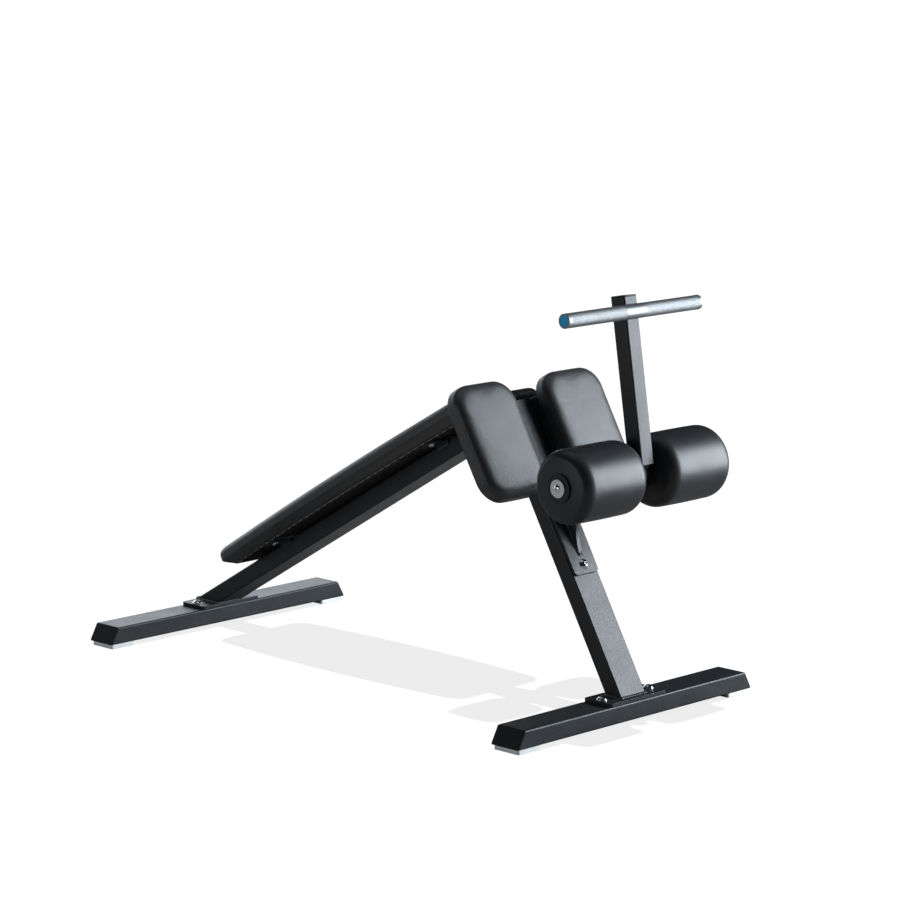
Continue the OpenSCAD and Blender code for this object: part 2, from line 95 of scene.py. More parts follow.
class ROMANCHAIR_PG_finish(bpy.types.PropertyGroup):
    """Colours and grain of the frame's finishes."""
    coat_dark: colour("Coat, dark", "Powder coat in its darker patches", (0.0137, 0.0155, 0.018))
    coat_light: colour("Coat, light", "Powder coat in its lighter patches", (0.0325, 0.0363, 0.0413))
    coat_gloss: amount("Coat roughness", "Roughness of the powder coat", 0.36)
    coat_mottle: amount("Coat mottle", "Patches per metre in the coat's gloss", 14.0, 1.0, 100.0)
    coat_grain: amount("Coat grain", "Grains per metre of the coat", 1300.0, 100.0, 4000.0)
    coat_speck: amount("Coat speckle", "Specks per metre of the coat", 240.0, 50.0, 2000.0)
    # The crease colour is painted shade: the vinyl is drawn darker in the grain's creases.
    vinyl_crease_shade: colour("Vinyl, dark", "Vinyl in its creases", (0.02, 0.02, 0.0225))
    vinyl_light: colour("Vinyl, light", "Vinyl on its raised grain", (0.0425, 0.0438, 0.0475))
    vinyl_gloss: amount("Vinyl roughness", "Roughness of the vinyl", 0.34)
    vinyl_grain: amount("Vinyl grain", "Grain cells per metre", 850.0, 100.0, 3000.0)
    foam: colour("Foam skin", "Roller skin", (0.025, 0.0263, 0.03))
    foam_gloss: amount("Foam roughness", "Roughness of the rollers' skin", 0.37)
    plastic: colour("Black plastic", "Moulded caps", (0.015, 0.015, 0.0175))
    blue: colour("Blue plastic", "End caps of the hand bar", (0.015, 0.4, 0.775))
    pale: colour("Pale plastic", "Glides under the feet", (0.84, 0.86, 0.88))
    steel: colour("Bright steel", "Zinc plate", (0.85, 0.875, 0.9))
    bar: colour("Bar steel", "Hand bar", (0.4, 0.415, 0.43))
    board_dark: colour("Board, dark", "Open grain of the boards", (0.003, 0.003, 0.003))
    board_light: colour("Board, light", "Face of the boards", (0.013, 0.012, 0.011))
    edge: size("Edge round", "Rounding of the frame's cut edges", 0.7, 0.1, 5)


class ROMANCHAIR_PG_padding(bpy.types.PropertyGroup):
    """Shape of the two kinds of cushion."""
    back_bow: size("Back pad bow", "How far each long side bows out", 20, 0, 60)
    back_corner: size("Back pad corner", "Corner radius of the back pad", 39, 5, 100)
    thigh_corner: size("Thigh pad corner", "Corner radius of a thigh pad", 52, 5, 90)
    cell: size("Cell", "Spacing of the cover's mesh", 9, 4, 30)
    shy: size("Start smaller", "How much smaller the cover starts, before it swells", 0.5, 0, 8)
    pressure: amount("Pressure", "Push of the foam on the cover", 4.0, 0.0, 20.0)
    swell: size("Swell", "The furthest that a point of the cover may move", 0.8, 0, 20)
    stitch: size("Stitch pitch", "Distance between stitches", 4.5, 2, 12)
    thread: size("Thread", "Thickness of the thread", 0.65, 0.2, 2)
    staple_gap: size("Staple gap", "Distance between staples", 24, 8, 60)
    flap: size("Flap", "Width of the vinyl folded over the board", 14, 4, 40)


class ROMANCHAIR_PG_rollers(bpy.types.PropertyGroup):
    """Shape of the foam rollers."""
    end_radius: size("End disc", "Radius of the flat end", 64, 20, 79)
    shoulder: size("Shoulder", "Length of the rounded shoulder", 26, 2, 60)
    bore: size("Bore", "Radius of the hole for the core tube", 17.1, 5, 40)
    crown: size("Crown", "How far the barrel stands out in the middle", 0.6, 0, 5)
    steps: count("Steps", "Facets round a roller", 112, 24, 256)


class ROMANCHAIR_PG_bar(bpy.types.PropertyGroup):
    """Shape of the hand bar's grip."""
    smooth: size("Smooth middle", "Half the smooth stretch in the middle", 31, 5, 100)
    plain_end: size("Plain end", "Smooth stretch at each end", 10, 2, 60)
    depth: size("Knurl depth", "Height of a diamond's peak", 0.22, 0.05, 1)
    pitch: size("Knurl pitch", "Distance between rows of diamonds", 1.0, 0.5, 5)
    around: count("Diamonds round", "Diamonds round the bar", 100, 24, 200)
    bore: size("Bore", "Radius inside the bar", 12.5, 5, 15)


class ROMANCHAIR_PG_welds(bpy.types.PropertyGroup):
    """Weld beads."""
    bead: size("Bead", "Radius of a weld bead", 4.0, 1, 8)
    ripple: size("Ripple", "Distance between ripples", 5.6, 1, 10)


class ROMANCHAIR_PG_stage(bpy.types.PropertyGroup):
    """Camera, floor and lights."""
    eye: FloatVectorProperty(
        name="Camera", description="Where the camera stands", subtype="TRANSLATION",
        default=(5.3031, -5.2264, 1.8539), unit="LENGTH")
    look_down: FloatProperty(
        name="Look down", description="Camera pitch", default=math.radians(10.22), unit="ROTATION")
    turn: FloatProperty(
        name="Turn", description="Camera heading", default=math.radians(44.88), unit="ROTATION")
    lens: amount("Lens", "Focal length in millimetres", 133.7, 10.0, 500.0)
    floor_glow: amount("Floor glow", "Evenness of the white floor", 0.84, 0.0, 2.0)
    floor_grey: amount("Floor grey", "How much light the floor scatters", 0.25)
    sun: amount("Overhead light", "Strength of the light that casts the shadow", 3.0, 0.0, 20.0)
    key: amount("Key panel", "Power of the tall panel", 225.0, 0.0, 2000.0)
    rear: amount("Rear panel", "Power of the panel behind the pad", 30.0, 0.0, 2000.0)
    fill: amount("Fill panel", "Power of the weak side panel", 17.0, 0.0, 2000.0)
    top: amount("Top panel", "Power of the weak panel overhead", 8.0, 0.0, 2000.0)
    dim: amount("Dim room", "Light that comes from all round", 0.012)


class ROMANCHAIR_PG_chair(bpy.types.PropertyGroup):
    """All the settings of the roman chair."""
    finish: group("Finish", "Colours and grain", ROMANCHAIR_PG_finish)
    padding: group("Padding", "Cushion shape", ROMANCHAIR_PG_padding)
    rollers: group("Rollers", "Roller shape", ROMANCHAIR_PG_rollers)
    bar: group("Hand bar", "Grip shape", ROMANCHAIR_PG_bar)
    welds: group("Welds", "Weld beads", ROMANCHAIR_PG_welds)
    stage: group("Stage", "Camera, floor and lights", ROMANCHAIR_PG_stage)


# ---- finishes
class Link:
    """A node's output, with the sums that shader maths uses."""

    def __init__(self, nodes, socket):
        self.nodes = nodes
        self.socket = socket

    def sum(self, operation, left, right):
        return self.nodes.node("ShaderNodeMath", {"operation": operation}, {0: left, 1: right})

    def __add__(self, other):
        return self.sum("ADD", self, other)

    def __radd__(self, other):
        return self.sum("ADD", other, self)

    def __sub__(self, other):
        return self.sum("SUBTRACT", self, other)

    def __rsub__(self, other):
        return self.sum("SUBTRACT", other, self)

    def __mul__(self, other):
        return self.sum("MULTIPLY", self, other)

    def __rmul__(self, other):
        return self.sum("MULTIPLY", other, self)


class Nodes:
    """A node tree that starts empty."""

    def __init__(self, owner):
        owner.use_nodes = True
        self.tree = owner.node_tree
        self.tree.nodes.clear()

    def feed(self, node, sockets):
        """Links or sets some of a node's inputs."""
        for name, value in dict(sockets).items():
            if isinstance(value, Link):
                self.tree.links.new(value.socket, node.inputs[name])
            else:
                node.inputs[name].default_value = value

    def node(self, kind, settings=(), sockets=(), out=0):
        """Makes a node: its settings first, then its sockets."""
        made = self.tree.nodes.new(kind)
        for name, value in dict(settings).items():
            if name == "stops":
                self.set_stops(made.color_ramp, value)
            else:
                setattr(made, name, value)
        self.feed(made, sockets)
        return Link(self, made.outputs[out]) if made.outputs else None

    def set_stops(self, ramp, stops):
        while len(ramp.elements) < len(stops):
            ramp.elements.new(1.0)
        for element, (position, value) in zip(ramp.elements, stops):
            element.position = position
            element.color = (value, value, value, 1.0)


class Finish(Nodes):
    """One material: a Principled shader and the nodes that vary it."""

    def __init__(self, name, fixed=()):
        self.material = bpy.data.materials.new(name)
        super().__init__(self.material)
        self.shader = self.node("ShaderNodeBsdfPrincipled", {}, fixed, out="BSDF")
        self.node("ShaderNodeOutputMaterial", {}, {"Surface": self.shader})
        self.place = self.node("ShaderNodeTexCoord", out="Object")

    def set(self, sockets):
        self.feed(self.shader.socket.node, sockets)

    def noise(self, scale, detail=2.0, roughness=0.5, where=None):
        return self.node(
            "ShaderNodeTexNoise", {},
            {"Vector": where or self.place, "Scale": scale, "Detail": detail,
             "Roughness": roughness})

    def cells(self, scale, feature="F1", where=None):
        return self.node(
            "ShaderNodeTexVoronoi", {"feature": feature},
            {"Vector": where or self.place, "Scale": scale}, out="Distance")

    def stretched(self, x, y, z):
        return self.node(
            "ShaderNodeVectorMath", {"operation": "MULTIPLY"},
            {0: self.place, 1: (x, y, z)}, out="Vector")

    def ramp(self, value, *stops):
        return self.node("ShaderNodeValToRGB", {"stops": stops}, {"Fac": value}, out="Color")

    def blend(self, mask, first, second):
        return self.node(
            "ShaderNodeMix", {"data_type": "RGBA"}, {0: mask, 6: first, 7: second}, out=2)

    def bump(self, height, distance, strength=1.0, under=None):
        sockets = {"Height": height, "Distance": distance, "Strength": strength}
        if under:
            sockets["Normal"] = under
        return self.node("ShaderNodeBump", {}, sockets, out="Normal")


def shade(tone, factor):
    """A colour made darker or lighter."""
    return tuple(min(1.0, channel * factor) for channel in tone[:3]) + (1.0,)


def powder_coat(look):
    """Fine-textured black powder coat with soft patches in its gloss."""
    coat = Finish("powder_coat", {"Specular IOR Level": 0.3})
    patch = coat.noise(look.coat_mottle, 3.0, 0.6)
    grain = coat.noise(look.coat_grain, 2.0, 0.5)
    fine = coat.noise(look.coat_speck, 2.0, 0.7)
    coat.set({
        "Base Color": coat.blend(patch * 0.6 + fine * 0.4, look.coat_dark, look.coat_light),
        "Roughness": look.coat_gloss + (patch - 0.5) * 0.16 + (fine - 0.5) * 0.22,
        "Normal": coat.bump(grain + fine * 1.4, 0.00030, 0.6),
    })
    return coat.material


def weld_finish(look):
    """The same coat where it lies over a weld: a little glossier and rougher in form."""
    coat = Finish("coated_weld", {"Specular IOR Level": 0.87})
    spatter = coat.noise(700.0, 3.0, 0.6)
    coat.set({
        "Base Color": coat.blend(spatter, look.coat_dark, look.coat_light),
        "Roughness": 0.14 + spatter * 0.14,
        "Normal": coat.bump(spatter, 0.0004, 0.5),
    })
    return coat.material


def vinyl(look):
    """Upholstery vinyl: pressed leather grain with painted shade in its creases, soft waves and a
    worn sheen.
    """
    skin = Finish("black_vinyl", {"Specular IOR Level": 0.62, "Sheen Weight": 0.05})
    bend = skin.noise(240.0, 2.0, 0.5)
    grain = skin.cells(look.vinyl_grain, "DISTANCE_TO_EDGE")
    pore = skin.noise(look.vinyl_grain * 1.7, 2.0, 0.6)
    wear = skin.noise(9.0, 3.0, 0.55)
    lines = skin.ramp(grain, (0.0, 0.0), (0.16, 0.8), (0.5, 1.0))
    relief_and_crease_shade = lines * 0.7 + pore * 0.3
    soft = skin.bump(bend + wear * 6.0, 0.0005, 0.5)
    skin.set({
        # The base colour is darker in the grain's creases as painted shade; the same mask also
        # drives the grain's bump and roughness.
        "Base Color": skin.blend(relief_and_crease_shade, look.vinyl_crease_shade, look.vinyl_light),
        "Roughness": look.vinyl_gloss + (wear - 0.5) * 0.16 + (1.0 - relief_and_crease_shade) * 0.10,
        "Normal": skin.bump(relief_and_crease_shade, 0.00018, 0.6, soft),
    })
    return skin.material


def foam_skin(look):
    """Smooth skin of moulded foam with fine pores and faint dents."""
    skin = Finish("black_foam", {"Specular IOR Level": 0.42})
    pore = skin.cells(1500.0)
    cloud = skin.noise(20.0, 3.0, 0.55)
    dent = skin.noise(55.0, 2.0, 0.5)
    soft = skin.bump(dent, 0.0006, 0.35)
    skin.set({
        "Base Color": skin.blend(cloud, shade(look.foam, 0.7), look.foam),
        "Roughness": look.foam_gloss + (cloud - 0.5) * 0.16 + pore * 0.05,
        "Normal": skin.bump(pore, 0.00016, 0.45, soft),
    })
    return skin.material


def moulded(name, tone, roughness, grain=900.0, depth=0.00016):
    """Moulded plastic with a fine spark-eroded grain and faint flow marks."""
    plastic = Finish(name, {"Specular IOR Level": 0.32})
    speck = plastic.noise(grain, 2.0, 0.5)
    flow = plastic.noise(30.0, 3.0, 0.6)
    plastic.set({
        "Base Color": plastic.blend(flow, tone, shade(tone, 1.35)),
        "Roughness": roughness + (flow - 0.5) * 0.14,
        "Normal": plastic.bump(speck, depth, 0.4),
    })
    return plastic.material


def plated(name, tone, roughness):
    """Bright plated steel with fine scratches and a slightly clouded gloss."""
    metal = Finish(name, {"Metallic": 1.0})
    cloud = metal.noise(60.0, 3.0, 0.6)
    lines = metal.noise(420.0, 2.0, 0.6, metal.stretched(1.0, 0.15, 1.0))
    metal.set({
        "Base Color": metal.blend(cloud, tone, shade(tone, 0.82)),
        "Roughness": roughness + (cloud - 0.5) * 0.10 + (lines - 0.5) * 0.08,
        "Normal": metal.bump(lines, 0.00006, 0.3),
    })
    return metal.material


def knurled_steel(look):
    """Bright steel with sparkle painted into its colour: noise spots darken it, as if small facets
    caught the light unevenly.
    """
    steel = Finish("knurled_steel", {"Metallic": 1.0})
    painted_sparkle_and_gloss = steel.noise(380.0, 2.0, 0.7)
    steel.set({
        # The colour is darkened in noise spots as painted sparkle; the same noise also varies the
        # roughness.
        "Base Color": steel.blend(painted_sparkle_and_gloss, look.bar, shade(look.bar, 0.45)),
        "Roughness": 0.42 + painted_sparkle_and_gloss * 0.16,
    })
    return steel.material


def stained_board(look):
    """Plywood face stained black: long grain and open pores."""
    wood = Finish("plywood", {"Specular IOR Level": 0.5})
    along = wood.stretched(6.0, 60.0, 6.0)
    grain = wood.noise(4.0, 4.0, 0.6, along)
    pores = wood.noise(24.0, 3.0, 0.7, along)
    figure = grain * 0.7 + pores * 0.3
    wood.set({
        "Base Color": wood.blend(figure, look.board_dark, look.board_light),
        "Roughness": 0.62 + (figure - 0.5) * 0.2,
        "Normal": wood.bump(pores, 0.0003, 0.4),
    })
    return wood.material


def thread_finish():
    """Black bonded thread with a slight shine."""
    thread = Finish("black_thread", {"Specular IOR Level": 0.5})
    twist = thread.noise(1800.0, 1.0, 0.5)
    thread.set({
        "Base Color": thread.blend(twist, (0.006, 0.006, 0.007, 1), (0.05, 0.05, 0.055, 1)),
        "Roughness": 0.42 + twist * 0.2,
    })
    return thread.material


# ---- shared mesh work
def corners(points):
    """Lowest and highest corner of some points."""
    return (Vector([min(p[i] for p in points) for i in range(3)]),
            Vector([max(p[i] for p in points) for i in range(3)]))


def tilted(x, y, z):
    """A point or direction given along the beam's and leg's local directions."""
    return TILT @ Vector((x, y, z))


def tilted_points(node):
    """A node's points, turned into the beam's and leg's local directions."""
    turn = TILT.inverted()
    return [turn @ vertex.co for vertex in NODES[node].data.vertices]


def tilted_box(node):
    """A node's box along the beam's and leg's local directions."""
    return corners(tilted_points(node))


def make_piece(name, form, material, body="frame", sharp=40.0):
    """A piece from its points and faces, that rides on a body."""
    points, faces = form
    mesh = bpy.data.meshes.new(name)
    mesh.from_pydata([tuple(point) for point in points], [], faces)
    mesh.validate()
    mesh.shade_smooth()
    mesh.set_sharp_from_angle(angle=math.radians(sharp))
    mesh.materials.append(material)
    piece = bpy.data.objects.new(name, mesh)
    bpy.context.scene.collection.objects.link(piece)
    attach(piece, body)
    return piece


def dress(nodes, material, edge=0.0, flat=1.0):
    """Gives CAD nodes a finish, and rounds their cut edges."""
    for name in nodes:
        node = NODES[name]
        node.data.materials.clear()
        node.data.materials.append(material)
        if edge:
            soften(node, edge, flat)


def soften(node, edge, flat):
    """Rounds a CAD node's edges with modifiers; its mesh stays as it is."""
    mesh = node.data
    for name in ("custom_normal", "sharp_edge", "sharp_face"):
        layer = mesh.attributes.get(name)
        if layer:
            mesh.attributes.remove(layer)
    for polygon in mesh.polygons:
        polygon.use_smooth = True
    weld = node.modifiers.new("Join", "WELD")
    weld.merge_threshold = 0.00002
    merge = node.modifiers.new("Flats", "DECIMATE")
    merge.decimate_type = "DISSOLVE"
    merge.angle_limit = math.radians(flat)
    bevel = node.modifiers.new("Edges", "BEVEL")
    bevel.width = edge
    bevel.segments = 2
    bevel.limit_method = "ANGLE"
    bevel.angle_limit = math.radians(30)
    bevel.harden_normals = True
    node.modifiers.new("Shading", "WEIGHTED_NORMAL").weight = 80


def nodes_in(slot):
    """The CAD nodes that the record gives this slot."""
    return [part["node"] for part in frame["record"]["subparts"]
            if part["material_slot"] == slot]


def loop_side(half_length, half_width, radius, steps):
    """Evenly spaced points from one corner's middle to the next, along the +width side."""
    arc = radius * math.pi / 4
    straight = 2 * (half_length - radius)
    points = []
    for step in range(steps):
        run = (2 * arc + straight) * step / steps
        if run < arc:
            angle = math.pi / 4 + run / radius
            centre = half_length - radius
        elif run < arc + straight:
            angle = math.pi / 2
            centre = half_length - radius - (run - arc)
        else:
            angle = math.pi / 2 + (run - arc - straight) / radius
            centre = radius - half_length
        points.append((centre + radius * math.cos(angle),
                       half_width - radius + radius * math.sin(angle)))
    return points


def rounded_loop(length, width, radius, bow, along, across):
    """A rounded rectangle's points, whose long sides bow out, from the +length +width corner."""
    long_side = loop_side(length / 2, width / 2, radius, along)
    short_side = loop_side(width / 2, length / 2, radius, across)
    loop = long_side + [(-v, u) for u, v in short_side]
    loop += [(-u, -v) for u, v in loop]
    return [(u, v * (1 + 2 * bow / width * (1 - (2 * u / length) ** 2))) for u, v in loop]


def filled_grid(loop, along, across):
    """Rows of points that fill a loop, by blending its four sides."""
    total = len(loop)
    top = [Vector(loop[i]) for i in range(along + 1)]
    low = [Vector(loop[(2 * along + across - i) % total]) for i in range(along + 1)]
    left = [Vector(loop[(total - j) % total]) for j in range(across + 1)]
    right = [Vector(loop[along + j]) for j in range(across + 1)]
    grid = []
    for i in range(along + 1):
        a = i / along
        row = []
        for j in range(across + 1):
            b = j / across
            sides = top[i] * (1 - b) + low[i] * b + left[j] * (1 - a) + right[j] * a
            ends = (top[0] * (1 - b) + low[0] * b) * (1 - a)
            ends += (top[along] * (1 - b) + low[along] * b) * a
            row.append(sides - ends)
        grid.append(row)
    return grid


def bands(rings, sides, closed, flip=False):
    """Four-sided faces between neighbouring rings of points."""
    faces = []
    for ring in range(rings if closed else rings - 1):
        low = ring * sides
        high = (ring + 1) % rings * sides
        for side in range(sides):
            after = (side + 1) % sides
            quad = [low + side, low + after, high + after, high + side]
            faces.append([quad[1], quad[0], quad[3], quad[2]] if flip else quad)
    return faces


def barrel(node):
    """Middle, radius and half length of a round CAD node that lies across the machine."""
    low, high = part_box(node)
    return (low + high) / 2, (high.x - low.x) / 2, (high.y - low.y) / 2


def turned(middle, y, radius, step, steps):
    """One of several even points on a circle whose axis runs across the machine."""
    angle = 2 * math.pi * step / steps
    return middle + Vector((radius * math.sin(angle), y, radius * math.cos(angle)))


class Cushion:
    """A cover's mesh: loops stacked from the board's back up to the panel."""

    def __init__(self, length, width, radius, bow, cell):
        self.length = length
        self.width = width
        self.radius = radius
        self.bow = bow
        self.along = max(4, round(length / cell))
        self.across = max(4, round(width / cell))
        self.around = 2 * (self.along + self.across)
        self.points = []
        self.faces = []
        self.held = []

    def loop(self, inset, end):
        length = self.length - 2 * end
        width = self.width - 2 * inset
        radius = max(0.008, self.radius - 0.6 * inset)
        return rounded_loop(length, width, radius, self.bow, self.along, self.across)

    def cap(self, loop_start, row, crown, upward):
        """Closes a loop with a grid whose middle stands out by crown."""
        along, across = self.along, self.across
        inset, end, height = row
        grid = filled_grid(self.loop(inset, end), along, across)
        index = {}
        for i in range(along + 1):
            for j in range(across + 1):
                if i == 0:
                    index[i, j] = loop_start + (self.around - j) % self.around
                elif i == along:
                    index[i, j] = loop_start + along + j
                elif j == 0:
                    index[i, j] = loop_start + i
                elif j == across:
                    index[i, j] = loop_start + 2 * along + across - i
                else:
                    index[i, j] = len(self.points)
                    u, v = grid[i][j]
                    rise = (1 - (2 * i / along - 1) ** 6) * (1 - (2 * j / across - 1) ** 4)
                    self.points.append((u, v, height + crown * rise))
        for i in range(along):
            for j in range(across):
                face = [index[i, j], index[i + 1, j], index[i + 1, j + 1], index[i, j + 1]]
                self.faces.append(face if upward else face[::-1])
        return [index[i, j] for i in range(1, along) for j in range(1, across)]

    def build(self, rows, held_rows, crown):
        """Stacks rows of (side inset, end inset, height), and holds the lowest ones still."""
        for inset, end, height in rows:
            self.points += [(u, v, height) for u, v in self.loop(inset, end)]
        self.faces += bands(len(rows), self.around, False)
        self.held = list(range(held_rows * self.around))
        self.held += self.cap(0, rows[0], 0.0, False)
        self.cap((len(rows) - 1) * self.around, rows[-1], crown, True)

    def ring(self, row):
        """The point numbers of one row."""
        return range(row * self.around, (row + 1) * self.around)


def in_metres(rows, scale):
    """Rows of (side inset, end inset, height), with the heights stretched to the CAD pad's."""
    return [(inset * MM, end * MM, height * MM * scale) for inset, end, height in rows]


def evened(mesh, pushes, held, rounds=12):
    """Averages each point's move with its neighbours', so that the taut cover has no ripples."""
    beside = [[] for _ in pushes]
    for edge in mesh.edges:
        first, second = edge.vertices
        beside[first].append(second)
        beside[second].append(first)
    still = set(held)
    for _ in range(rounds):
        pushes = [push if index in still else
                  (push + sum((pushes[other] for other in beside[index]), Vector())) /
                  (1 + len(beside[index]))
                  for index, push in enumerate(pushes)]
    return pushes


def swell(piece, held, pad):
    """Lets the foam push the cover out as cloth, and keeps each point near its start."""
    scene = bpy.context.scene
    start = [vertex.co.copy() for vertex in piece.data.vertices]
    pinned = piece.vertex_groups.new(name="held")
    pinned.add(held, 1.0, "REPLACE")
    cover = piece.modifiers.new("Cover", "CLOTH")
    settings = cover.settings
    settings.quality = 5
    settings.mass = 0.35
    settings.tension_stiffness = 18.0
    settings.compression_stiffness = 18.0
    settings.shear_stiffness = 9.0
    settings.bending_stiffness = 0.6
    settings.use_pressure = True
    settings.uniform_pressure_force = pad.pressure
    settings.vertex_group_mass = "held"
    settings.effector_weights.gravity = 0.0
    cover.collision_settings.use_collision = False
    cover.point_cache.frame_start = 1
    cover.point_cache.frame_end = 20
    for step in range(1, 21):
        scene.frame_set(step)
    shown = piece.evaluated_get(bpy.context.evaluated_depsgraph_get())
    moved = [vertex.co.copy() for vertex in shown.data.vertices]
    scene.frame_set(1)
    piece.modifiers.remove(cover)
    piece.vertex_groups.remove(pinned)
    pushes = evened(piece.data, [new - old for old, new in zip(start, moved)], held)
    for vertex, old, push in zip(piece.data.vertices, start, pushes):
        length = push.length
        if length > 1e-9:
            push *= pad.swell * math.tanh(length / pad.swell) / length
        vertex.co = old + push
    piece.data.update()


def finish_cushion(piece, node):
    """One subdivision over the settled cover, which stands for a CAD cushion."""
    smooth = piece.modifiers.new("Smooth", "SUBSURF")
    smooth.levels = 1
    smooth.render_levels = 1
    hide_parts(node)


def tube(path, radii, outward, closed, sides=10):
    """Rings of points along a path, with their faces."""
    points = []
    total = len(path)
    for index, centre in enumerate(path):
        before = path[index - 1] if closed or index else centre
        after = path[(index + 1) % total] if closed or index < total - 1 else centre
        forward = (after - before).normalized()
        first = (outward - forward * outward.dot(forward)).normalized()
        second = forward.cross(first)
        for side in range(sides):
            angle = 2 * math.pi * side / sides
            points.append(centre + radii[index] * (
                first * math.cos(angle) + second * math.sin(angle)))
    faces = bands(total, sides, closed)
    if not closed:
        faces.append(list(range(sides))[::-1])
        faces.append(list(range((total - 1) * sides, total * sides)))
    return points, faces


def even_path(path, step, closed):
    """The same path with points at even steps."""
    chain = path + [path[0]] if closed else path
    lengths = [0.0]
    for before, after in zip(chain, chain[1:]):
        lengths.append(lengths[-1] + (after - before).length)
    total = max(2, round(lengths[-1] / step))
    result = []
    piece = 0
    for index in range(total if closed else total + 1):
        run = lengths[-1] * index / total
        while piece < len(lengths) - 2 and lengths[piece + 1] < run:
            piece += 1
        span = max(1e-9, lengths[piece + 1] - lengths[piece])
        result.append(chain[piece].lerp(chain[piece + 1], (run - lengths[piece]) / span))
    return result


def merged(parts):
    """Several (points, faces) as one."""
    points = []
    faces = []
    for some_points, some_faces in parts:
        base = len(points)
        points += some_points
        faces += [[base + corner for corner in face] for face in some_faces]
    return points, faces


def dashes(path, outward, pitch, thick, length=0.62):
    """Stitches along a closed path: short threads that dive in at both ends."""
    parts = []
    stops = even_path(path, pitch, True)
    for index, here in enumerate(stops):
        ahead = stops[(index + 1) % len(stops)]
        out = outward[index * len(outward) // len(stops)]
        run = (ahead - here) * length
        line = []
        radii = []
        for part in range(5):
            a = part / 4
            line.append(here + run * a + out * thick * (math.sin(math.pi * a) - 0.35))
            radii.append(thick / 2 * (0.55 + 0.45 * math.sin(math.pi * a)))
        parts.append(tube(line, radii, out, False, 6))
    return merged(parts)


# ---- operators
class ROMANCHAIR_OT_stage(bpy.types.Operator):
    """Camera, white floor and soft studio light"""
    bl_idname = "romanchair.stage"
    bl_label = "Stage"
    bl_options = {"UNDO"}
    # name, where it hangs, what it faces, width and height
    panels = (
        ("key", (2.42, 2.52, 1.25), (0.45, 0.0, 0.75), (1.75, 2.4)),
        ("rear", (-2.5, 0.6, 0.85), (0.0, 0.1, 0.6), (3.0, 1.5)),
        ("fill", (-0.4, -3.6, 0.9), (-0.1, 0.0, 0.5), (2.4, 1.4)),
        ("top", (-0.1, 0.0, 2.9), (-0.1, 0.0, 0.5), (2.4, 1.8)),
    )

    def execute(self, context):
        stage = context.scene.roman_chair.stage
        scene = context.scene
        scene.view_settings.view_transform = "Standard"
        camera = bpy.data.objects.new("camera", bpy.data.cameras.new("camera"))
        camera.location = stage.eye
        camera.rotation_euler = (math.pi / 2 - stage.look_down, 0, stage.turn)
        camera.data.lens = stage.lens
        camera.data.sensor_width = 36.0
        camera.data.clip_end = 200.0
        scene.collection.objects.link(camera)
        scene.camera = camera
        floor = self.floor(stage)
        self.spared = bpy.data.collections.new("not_the_floor")
        self.spared.objects.link(floor)
        self.spared.collection_objects[0].light_linking.link_state = "EXCLUDE"
        self.world(stage.dim)
        for name, place, target, wide in self.panels:
            self.panel(name, place, target, wide, getattr(stage, name))
        return {"FINISHED"}

    def floor(self, stage):
        """A white floor that only the overhead light falls on, and that lights nothing itself."""
        scene = bpy.context.scene
        grey = stage.floor_grey
        paint = Finish("studio_floor", {
            "Specular IOR Level": 0.0, "Roughness": 1.0,
            "Base Color": (grey, grey, grey, 1), "Emission Color": (1, 1, 1, 1),
            "Emission Strength": stage.floor_glow})
        half = 60.0
        mesh = bpy.data.meshes.new("floor")
        corner = [(-half, -half, 0), (half, -half, 0), (half, half, 0), (-half, half, 0)]
        mesh.from_pydata(corner, [], [[0, 1, 2, 3]])
        mesh.materials.append(paint.material)
        floor = bpy.data.objects.new("floor", mesh)
        scene.collection.objects.link(floor)
        lit = bpy.data.collections.new("floor_only")
        lit.objects.link(floor)
        floor.light_linking.receiver_collection = lit
        sun = bpy.data.objects.new("overhead", bpy.data.lights.new("overhead", "SUN"))
        sun.data.energy = stage.sun
        sun.data.angle = math.radians(1.5)
        sun.location = (0, 0, 4)
        sun.light_linking.receiver_collection = lit
        scene.collection.objects.link(sun)
        return floor

    def world(self, dim):
        """White where the camera looks past the floor, and dim for the reflections."""
        world = bpy.data.worlds.new("studio")
        bpy.context.scene.world = world
        room = Nodes(world)
        camera_ray = room.node("ShaderNodeLightPath", out="Is Camera Ray")
        dark, white = (
            room.node("ShaderNodeBackground", {}, {"Color": (level, level, level, 1)})
            for level in (dim, 1.0))
        seen = room.node("ShaderNodeMixShader", {}, {0: camera_ray, 1: dark, 2: white})
        room.node("ShaderNodeOutputWorld", {}, {"Surface": seen})

    def panel(self, name, place, target, wide, power):
        """A soft light that doesn't fall on the floor."""
        light = bpy.data.lights.new(name, "AREA")
        light.shape = "RECTANGLE"
        light.size, light.size_y = wide
        light.energy = power
        light.color = (0.86, 0.94, 1.0)
        panel = bpy.data.objects.new(name, light)
        panel.location = place
        aim = Vector(target) - Vector(place)
        panel.rotation_euler = aim.to_track_quat("-Z", "Y").to_euler()
        panel.visible_camera = False
        panel.light_linking.receiver_collection = self.spared
        bpy.context.scene.collection.objects.link(panel)


class ROMANCHAIR_OT_frame(bpy.types.Operator):
    """Powder-coated tubes, plates and brackets"""
    bl_idname = "romanchair.frame"
    bl_label = "Frame"
    bl_options = {"UNDO"}

    def execute(self, context):
        look = context.scene.roman_chair.finish
        dress(nodes_in("powder_coat"), powder_coat(look), look.edge)
        return {"FINISHED"}


class ROMANCHAIR_OT_hardware(bpy.types.Operator):
    """Bolts, washers, nuts and the axle"""
    bl_idname = "romanchair.hardware"
    bl_label = "Hardware"
    bl_options = {"UNDO"}

    def execute(self, context):
        look = context.scene.roman_chair.finish
        dress(nodes_in("zinc_steel"), plated("zinc_steel", look.steel, 0.26), 0.25 * MM)
        domes = plated("bright_bolts", shade(look.steel, 0.9), 0.12)
        dress(nodes_in("bright_bolts"), domes, 0.25 * MM)
        return {"FINISHED"}


